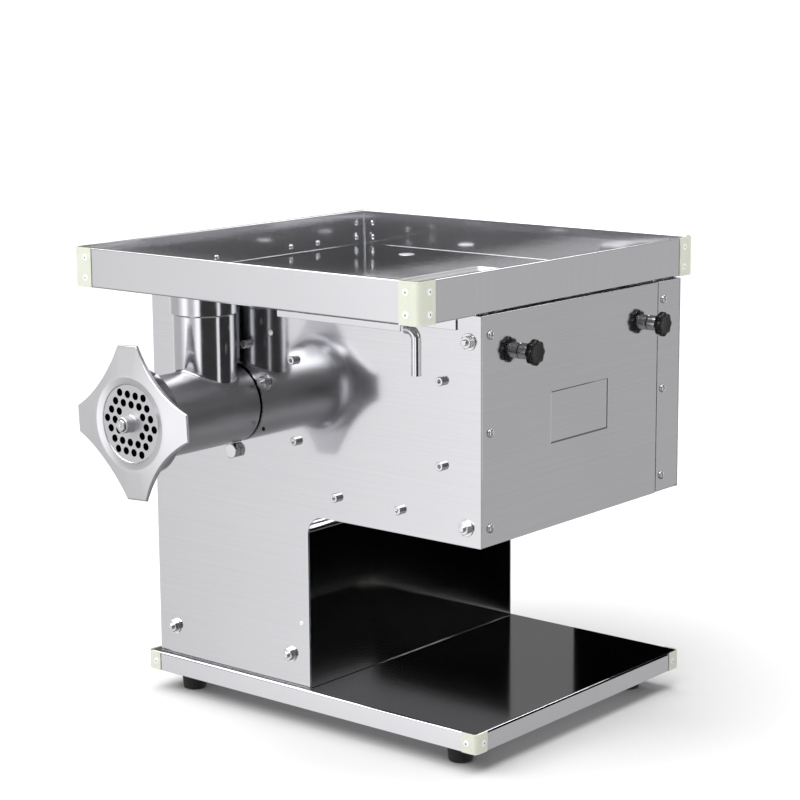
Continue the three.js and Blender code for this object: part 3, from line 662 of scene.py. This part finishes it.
def socketScrew(radius, high, socket=2.3):
    piece = turned("screw", [(0, -1), (radius, -1), (radius, high - 0.5), (radius - 0.5, high), (0, high)],
                   sides=32)
    carve(piece, [plate("hole", hexagon(socket), "z", high - 3.2, high + 1)])
    return softenEdges(piece, 0.15, 2, 35)


# a hexagon head with its corners turned off to a round face
def hexHead(radius, low, high, turn=0.3):
    piece = plate("head", hexagon(radius, turn), "z", low, high)
    wide = radius + 1
    cone = turned("cone", [(0, low - 1), (wide, low - 1), (wide, high - radius * 0.22),
                           (radius * 0.83, high), (0, high)], sides=48)
    applyModifier(piece, "BOOLEAN", object=cone, operation="INTERSECT", solver="EXACT")
    bpy.data.objects.remove(cone)
    return softenEdges(piece, 0.2, 2, 25)


def flangedNut(washer, nut, high, stud):
    disc = turned("washer", [(0, -0.5), (washer, -0.5), (washer, 0.8), (washer - 0.3, 1.1), (0, 1.1)],
                  sides=40)
    hexBody = hexHead(nut, 1.1, 1.1 + high)
    end = turned("stud", [(0, 0), (stud, 0), (stud, high + 3), (stud - 0.7, high + 3.7), (0, high + 3.7)],
                 sides=24)
    return joined([disc, hexBody, end], "nut")


def panHeadScrew(radius, high):
    dome = [(radius * math.sin(t), high * (0.25 + 0.75 * math.cos(t)))
            for t in map(math.radians, (0, 25, 45, 65, 80, 90))]
    piece = turned("screw", dome + [(radius, -0.5), (0, -0.5)], sides=32)
    for a, b in [(2.2, 0.5), (0.5, 2.2)]:  # the two strokes of the cross recess
        carve(piece, [block("bar", (-a, -b, high - 1.3), (a, b, high + 1))])
    return softenEdges(piece, 0.12, 2, 40)


# places on both legs at all four corners;
# outward is how far they stand off the wall, and negative is inside it
def cornerPlaces(pan, leg, heights, outward):
    facing = math.copysign(1, outward)
    places = []
    for sx in (-1, 1):
        for sy in (-1, 1):
            for z in heights:
                x, y = pan["x"][sx > 0], pan["y"][sy > 0]
                places.append(((x + sx * outward, y - sy * leg, z), (sx * facing, 0, 0), 0))
                places.append(((x - sx * leg, y + sy * outward, z), (0, sy * facing, 0), 0))
    return places


rivetPlaces = {
    prefix: cornerPlaces(pan, capRivets[prefix]["leg"], capRivets[prefix]["heights"], 0.9)
    for prefix, pan in [("tray", tray), ("base", base)]
}
for prefix, places in rivetPlaces.items():
    domes = scattered(rivetMaster(fastener["rivet"], fastener["rivetHigh"]), places, "rivets")
    settle(domes, prefix + "CapRivets", "casing", "aluminium")
# the steel mandrel left in the middle of each rivet, made near black: painted shade in the rivet's hole
for prefix, places in rivetPlaces.items():
    r, high = fastener["mandrel"], fastener["mandrelHigh"]
    core = turned("mandrel", [(0, -0.3), (r, -0.3), (r, high - 0.1), (r * 0.6, high), (0, high)], sides=16)
    settle(scattered(core, places, "mandrels"), prefix + "Mandrels",
           "casing", "paintedShadeSteel")

# the closed ends of the tray rivets, inside the walls, and three more along the left wall
innerMaster = turned("rivet", [(0, 2.6), (1.4, 2.3), (2.7, 1.4), (3.2, 0), (3.2, -0.3), (0, -0.3)], sides=20)
innerPlaces = cornerPlaces(tray, capRivets["tray"]["leg"], (450.5, 467), -sheet["thick"])
innerPlaces += [((tray["x"][0] + sheet["thick"], y, 450), (1, 0, 0), 0) for y in (12, 131, 176)]
settle(scattered(innerMaster, innerPlaces, "rivets"), "trayInnerRivets",
       "casing", "brightSteel")
floorMaster = turned("button", [(0, 0.8), (7, 0.75), (8.5, 0.5), (9, 0), (9, -0.3), (0, -0.3)], sides=36)
floorButtons = [((x, y, 442.5), (0, 0, 1), 0) for x, y in [(-128, 203), (120, 203), (-170, -40), (40, -40)]]
settle(scattered(floorMaster, floorButtons, "buttons"), "trayFloorButtons",
       "casing", "groundSteel")

front, out = body["front"], (0, -1, 0)
back, rearward = body["back"], (0, 1, 0)
railScrews = [(-17.9, 376.5), (-16.3, 295.4), (168.7, 376.3), (168.4, 295.3)]
frontScrews = railScrews + [(36.1, 245.5), (116.6, 245.1), (-81.6, 386.1)]
socketPlaces = [((x, front, z), out, 0.3 * i) for i, (x, z) in enumerate(frontScrews)]
rearSockets = [((x, back, z), rearward, 0.2) for x, z in railScrews]
screws = scattered(socketScrew(fastener["socketHead"], fastener["socketHigh"]),
                   socketPlaces + rearSockets, "screws")
settle(screws, "socketScrews", "casing", "zincPlated")

nutCorners = [(200, 416), (197, 239.6), (-193.7, 73.2), (-28.7, 73.9)]
nutPlaces = [((x, front, z), out, 0.2 * i) for i, (x, z) in enumerate(nutCorners)]
nutPlaces += [((x, back, z), rearward, 0.1) for x, z in nutCorners]
settle(scattered(flangedNut(8.2, 6.4, 4.4, 3.1), nutPlaces, "nuts"), "flangedNuts",
       "casing", "zincPlated")
headNuts = [((-58, front, 349.8), out, 0.4), ((-147.6, front, 349.8), out, 0.1)]
settle(scattered(flangedNut(8.2, 6.6, 4.6, 3.1), headNuts, "nuts"), "headFlangeNuts",
       "casing", "zincPlated")

smallRivets = [((-48.9, front, 400.9), out, 0), ((-13.1, front, 108.3), out, 0)]
settle(scattered(rivetMaster(2.9, 1.3, 0.6), smallRivets, "rivets"),
       "panelRivets", "casing", "aluminium")
# a near-black disc in the sight hole: painted shade of the hole
sightHole = turned(
    "hole",
    [(0, front + 0.4), (2.2, front + 0.4), (2.2, front - 0.12), (1.9, front - 0.16), (0, front - 0.16)],
    "y", (-60.9, 301.9), 20,
)
settle(sightHole, "sightHole", "casing", "paintedShadeSteel")

coverHeights = (422, 330, 239)
for name, carrier, places in [
    ("coverScrews", "drawer",
     [((cover["outside"], -91, z), (1, 0, 0), 0.5 * i) for i, z in enumerate(coverHeights)]),
    ("stripScrews", "casing",
     [((cover["outside"], 199, z), (1, 0, 0), 0.7 * i) for i, z in enumerate(coverHeights)]),
    ("leftPanelScrews", "casing",
     [((body["left"], y, z), (-1, 0, 0), 0.4) for y in (-91, 217) for z in (60, 250, 422)]),
]:
    screws = scattered(panHeadScrew(fastener["panHead"], fastener["panHigh"]), places, "screws")
    settle(screws, name, carrier, "zincPlated")

bolt = scattered(hexHead(8.3, 0, 7), [((-100.7, front - 0.3, 275.3), out, 0)], "bolt")
settle(bolt, "clampBolt", "casing", "zincPlated", ["clamp_bolt"])
print("fasteners made")

# ---- grinder head

ring = {
    "front": -248.9, "back": -242.2, "ridge": 46, "slope": 6.5, "edge": 1.7,
    "lobe": 76, "tip": 26, "waist": 55, "turn": 3,
}
axisAt = (head["x"], head["z"])


def makeBarrel():
    r = head["barrel"]
    profile = [
        (30, -106.8), (r - 1, -106.8), (r, -107.6), (r, -222), (41.5, -226), (46.8, -229.3), (46.8, -246.2),
        (41.4, -246.2), (41.4, -231), (36, -231), (36, -112), (30, -112), (30, -106.8),
    ]
    barrel = turned("barrel", profile, "y", axisAt, 128)
    spigot = turned("spigot", [(13, -112), (29.5, -112), (29.5, -72), (13, -72), (13, -112)], "y", axisAt, 64)
    return [barrel, spigot]


# throat: its foot follows the barrel's round back through a small fillet
def makeThroat():
    fillet, sides = 3, 128
    top = head["top"] - head["z"]

    def ringAt(radius, height, saddle):
        points = []
        for i in range(sides):
            t = 2 * math.pi * i / sides
            x = radius * math.cos(t)
            lift = math.sqrt(max(head["barrel"] ** 2 - x * x, 0)) if saddle else 0
            points.append(Vector((head["x"] + x, head["throatY"] + radius * math.sin(t),
                                  head["z"] + lift + height)) * mm)
        return points

    r, bore = head["throat"], head["throatBore"]
    rings = [ringAt(bore, -2, True), ringAt(r + fillet, -2, True)]
    for degrees in range(0, 91, 15):
        t = math.radians(degrees)
        rings.append(ringAt(r + fillet * (1 - math.sin(t)), fillet * (1 - math.cos(t)), True))
    lip = r + 2.4
    for radius, height in [
        (r, 60), (r, 94.5), (r + 0.8, 96), (lip, 96.8), (lip, top - 0.6),
        (lip - 0.6, top), (bore + 0.6, top), (bore, top - 0.6),
    ]:
        rings.append(ringAt(radius, height, False))
    rings.append(rings[0])
    return loft("throat", rings, True)


# gives the faces of a part of the head that a test picks another finish;
# away is the distance from the auger's axis
def secondLook(piece, look, test):
    piece.data.materials.append(looks[look])
    for face in piece.data.polygons:
        middle = face.center * 1000
        if test(middle, math.hypot(middle.x - head["x"], middle.z - head["z"]), face.normal):
            face.material_index = 1


feedBore = head["throatBore"] + 0.6
opening = turned("hole", [(feedBore, head["z"] + 10), (feedBore, head["z"] + 60)], "z", throatAt, 96)
barrel = carve(joined(makeBarrel(), "barrel"), [opening])
casting = joined([barrel, makeThroat()], "casting")
settle(casting, "grinderHead", "casing", "polishedCasting", ["grinder_head"], 35)
secondLook(casting, "turnedCasting", lambda middle, away, normal: 40 < away < 48.5 and abs(normal.y) < 0.5)


# the star's outline round its own axis: four flat tips joined by hollow arcs
def lobeOutline(step):
    half = ring["tip"] / 2
    corner = Vector((ring["lobe"], half))
    middle = corner.length * math.cos(math.pi / 4 - math.atan2(half, ring["lobe"]))
    sag = middle - ring["waist"]
    chord = (ring["lobe"] - half) / math.sqrt(2)
    radius = (chord ** 2 + sag ** 2) / (2 * sag)
    far = ring["waist"] + radius
    sweep = math.asin(chord / radius)
    points = []
    for quarter in range(4):
        waistTurn = (quarter + 0.5) * math.pi / 2
        for i in range(step + 1):
            t = waistTurn + math.pi + sweep - 2 * sweep * i / step
            centre = Vector((math.cos(waistTurn), math.sin(waistTurn))) * far
            points.append(centre + Vector((math.cos(t), math.sin(t))) * radius)
    tilt = Matrix.Rotation(math.radians(ring["turn"]), 2)
    return [tilt @ point for point in points]


# the star falls away from a ridge round the opening to its four tips
def makeRing():
    outline = lobeOutline(32)

    def ringAt(scale, height, radius=None, fall=True):
        points = []
        for point in outline:
            flat = point.normalized() * radius if radius else point * scale
            drop = max(0, flat.length - ring["ridge"]) * math.tan(math.radians(ring["slope"])) if fall else 0
            points.append(Vector((head["x"] + flat.x, height + drop, head["z"] + flat.y)) * mm)
        return points

    edge, face, rear, ridge = ring["edge"], ring["front"], ring["back"], ring["ridge"]
    rings = [ringAt(0, rear, ridge - 1.8, False), ringAt(0, face + 0.6, ridge - 1.8),
             ringAt(0, face + 0.1, ridge - 1)]
    rings += [ringAt(0, face, ridge), ringAt(0, face, ridge + 3)]
    rings += [ringAt(k, face) for k in (0.93, 0.96)]
    for degrees in range(0, 91, 15):
        t = math.radians(degrees)
        rings.append(ringAt(1 - edge / ring["lobe"] * (1 - math.sin(t)), face + edge * (1 - math.cos(t))))
    rings += [ringAt(1, rear - 0.5, fall=False), ringAt(0.993, rear, fall=False), rings[0]]
    star = loft("star", rings, True)
    collar = turned("collar", [
        (38, -246.7), (38.3, -247.1), (39.2, -247.4), (45.2, -249), (45.8, -248.9),
        (46, -248.6), (46, -242.2), (52.1, -242.2),
        (52.5, -241.4), (52.5, -230.2), (51.9, -229.4), (47.6, -229.4), (47.4, -230),
        (47.4, -246.4), (38, -246.4), (38, -246.7),
    ], "y", axisAt, 128)
    return joined([star, collar], "ring")


nut = settle(makeRing(), "ringNut", "ring_nut", "satinCasting", ["ring_nut"], 35)
secondLook(nut, "polishedCasting",
           lambda middle, away, normal: 51 < away < 53 and middle.y > -242 and abs(normal.y) < 0.5)

grinderPlate = {
    "radius": 41, "front": -246.5, "back": -238.5, "hole": 3.8, "pitch": 10.8, "turn": -0.07,
    "boss": 8, "bossFront": -258.2, "bore": 5.8,
}


def makePlate():
    g = grinderPlate
    low, high = g["back"], g["front"]
    disc = turned("disc", [(0, low), (g["radius"], low), (g["radius"], high), (0, high)], "y", axisAt, 96)

    def drill(radius, centre, sides):
        return turned("hole", [(radius, low + 2), (radius, high - 2)], "y", centre, sides)

    holes = []
    row = g["pitch"] * math.sqrt(0.75)
    c, s = math.cos(g["turn"]), math.sin(g["turn"])
    for j in range(-3, 4):
        count = 7 - abs(j)
        for i in range(count):
            x, z = (i - (count - 1) / 2) * g["pitch"], j * row
            if math.hypot(x, z) > g["pitch"] * 1.1:
                holes.append(drill(g["hole"], (head["x"] + x * c - z * s, head["z"] + x * s + z * c), 28))
    carve(disc, holes)
    carve(disc, [drill(g["boss"] - 0.4, axisAt, 64)])
    softenEdges(disc, 0.25, 2, 35)
    r, bore, tip = g["boss"], g["bore"], g["bossFront"]
    boss = turned("boss", [
        (bore, tip + 0.5), (bore + 0.4, tip), (r - 0.7, tip),
        (r, tip + 0.7), (r, high - 0.9), (r + 0.9, high),
        (r + 5.2, high - 0.05), (r + 5.6, high + 0.3), (r - 0.3, high + 0.5),
        (r - 0.3, low), (bore, low), (bore, tip + 0.5),
    ], "y", axisAt, 64)
    return joined([disc, boss], "plate")


holePlate = settle(makePlate(), "holePlate", "casing", "groundSteel", ["hole_plate"], 30)
inner, outer = grinderPlate["boss"] + 1, grinderPlate["radius"] - 1
# the walls of the holes are near black: painted shade inside the holes
secondLook(holePlate, "paintedShadeSteel",
           lambda middle, away, normal: abs(normal.y) < 0.5 and inner < away < outer)
settle(refined("cross_knife", 0.5), "crossKnifeFinish", "auger_drive",
       "groundSteel", ["cross_knife"])


def makeAuger():
    core = turned("core", [
        (0, -259.6), (1.3, -259.7), (1.7, -260), (4.8, -260), (5.4, -259.4),
        (5.4, -229.2), (17, -229.2), (20, -112.5),
        (11.5, -112.5), (11.5, -60), (0, -60)], "y", axisAt, 64)
    turns, steps, start, end = 2.5, 120, -228.2, -120.5
    section = [(12, 0), (34, 0.8), (34.6, 1.6), (34.6, 4.6), (34, 5.4), (12, 6.6)]
    rings = []
    for i in range(steps + 1):
        t = 2 * math.pi * turns * i / steps
        y = start + (end - start) * i / steps
        rings.append([Vector((head["x"] + r * math.cos(t), y + h, head["z"] + r * math.sin(t))) * mm
                      for r, h in section])
    flight = loft("flight", rings)
    return joined([core, flight], "auger")


settle(makeAuger(), "augerFinish", "auger_drive", "brightSteel", ["auger"], 40)
print("grinder head made")

# ---- knobs, feet and drain

def makeKnob(name, y):
    def lobed(radius, x):
        points = []
        for i in range(128):
            t = 2 * math.pi * i / 128
            wave = 0.055 if radius > 8 else 0
            r = radius * (1 - wave + wave * math.cos(knob["lobes"] * t))
            points.append(Vector((x, y + r * math.cos(t), knob["z"] + r * math.sin(t))) * mm)
        return points

    big, start, end = knob["radius"], knob["start"], knob["end"]
    profile = [(0, start), (8.5, start), (10.6, start + 0.3), (big - 0.6, start + 1),
               (big, start + 2), (big, end - 1.9),
               (big - 0.5, end - 0.9), (big - 1.4, end - 0.3), (big - 2.4, end),
               (7.2, end), (6.8, end - 0.3), (0, end - 0.3)]
    grip = loft("grip", [lobed(r, x) for r, x in profile])
    settle(grip, name + "Grip", name, "glossBlack", [name], 40)
    shank = turned("shank", [
        (0, 203.8), (3.6, 203.8), (4.1, 204.6), (4.1, 214.3), (7.0, 214.3),
        (7.7, 215), (7.7, 224.8), (7.2, 225.7), (0, 225.7)],
        "x", (y, knob["z"]), 48)
    settle(shank, name + "Shank", name, "brightSteel", (), 40)


makeKnob("knob_front", knob["front"])
makeKnob("knob_rear", knob["rear"])

for side, x in [("left", -191), ("right", 171)]:
    for end, y in [("front", -81), ("rear", 207)]:
        profile = [(0, 0), (10.4, 0), (11.6, 0.5), (12.4, 2), (13.8, 20), (14, 22.5),
                   (13.4, 24), (6, 24), (6, 40.2), (0, 40.2)]
        foot = turned("foot", profile, "z", (x, y), 64)
        node = f"foot_{end}_{side}"
        settle(foot, node + "Finish", "casing", "rubber", [node], 40)

drain = {"x": 195, "y": -175, "outer": 4.6, "inner": 3.6, "bend": 9, "level": 435.6, "tip": 394}


def makeDrain():
    bend, sides = drain["bend"], 40
    cx, cz = drain["x"] - bend, drain["level"] - bend
    line = [(cx - 3, drain["level"], 0)]
    for i in range(9):
        t = math.pi / 2 * i / 8
        line.append((cx + bend * math.sin(t), cz + bend * math.cos(t), t))
    line.append((drain["x"], drain["tip"], math.pi / 2))
    rings = []
    for radius, order in [(drain["outer"], line), (drain["inner"], line[::-1])]:
        for x, z, t in order:
            across = [(radius * math.cos(a), radius * math.sin(a))
                      for a in [2 * math.pi * i / sides for i in range(sides)]]
            rings.append([Vector((x + u * math.sin(t), drain["y"] + v, z + u * math.cos(t))) * mm
                          for u, v in across])
    rings.append(rings[0])
    return loft("drain", rings, True)


settle(makeDrain(), "drainPipe", "casing", "brightSteel", ["drain_pipe"], 40)
print("knobs, feet and drain made")

# ---- inner works and controls

for node, carrier, look, slotName in [
    ("inner_plate", "drawer", "groundSteel", "sheet_steel"),
    ("outer_plate", "drawer", "groundSteel", "sheet_steel"),
    ("tie_rod_front", "drawer", "brightSteel", "turned_steel"),
    ("tie_rod_rear", "drawer", "brightSteel", "turned_steel"),
    ("comb_front", "drawer", "brightSteel", "sheet_steel"),
    ("comb_rear", "drawer", "brightSteel", "sheet_steel"),
    ("knife_roller_front", "roller_front", "groundSteel", "turned_steel"),
    ("knife_roller_rear", "roller_rear", "groundSteel", "turned_steel"),
    ("timing_gear_front", "roller_front", "groundSteel", "cast_steel"),
    ("timing_gear_rear", "roller_rear", "groundSteel", "cast_steel"),
    ("gearbox", "casing", "satinCasting", "cast_steel"),
    ("output_shaft", "auger_drive", "brightSteel", "turned_steel"),
    ("grinder_motor", "casing", "enamel", "motor_paint"), ("cutter_motor", "casing", "enamel", "motor_paint"),
    ("motor_pulley", "motor_pulley", "satinCasting", "cast_steel"),
    ("driven_pulley", "stub_drive", "satinCasting", "cast_steel"),
    ("stub_shaft", "stub_drive", "brightSteel", "turned_steel"),
    ("bearing_housing", "casing", "satinCasting", "cast_steel"),
    ("drive_belt", "casing", "rubber", "belt_rubber"),
    ("cord_gland", "casing", "glossBlack", "black_plastic"),
    ("switch_frame_grinder", "casing", "glossBlack", "black_plastic"),
    ("switch_frame_cutter", "casing", "glossBlack", "black_plastic"),
    ("rocker_grinder", "rocker_grinder", "glossBlack", "black_plastic"),
    ("rocker_cutter", "rocker_cutter", "glossBlack", "black_plastic"),
]:
    settle(refined(node, 0.3), node + "Finish", carrier, look, [node])
print("inner works made")
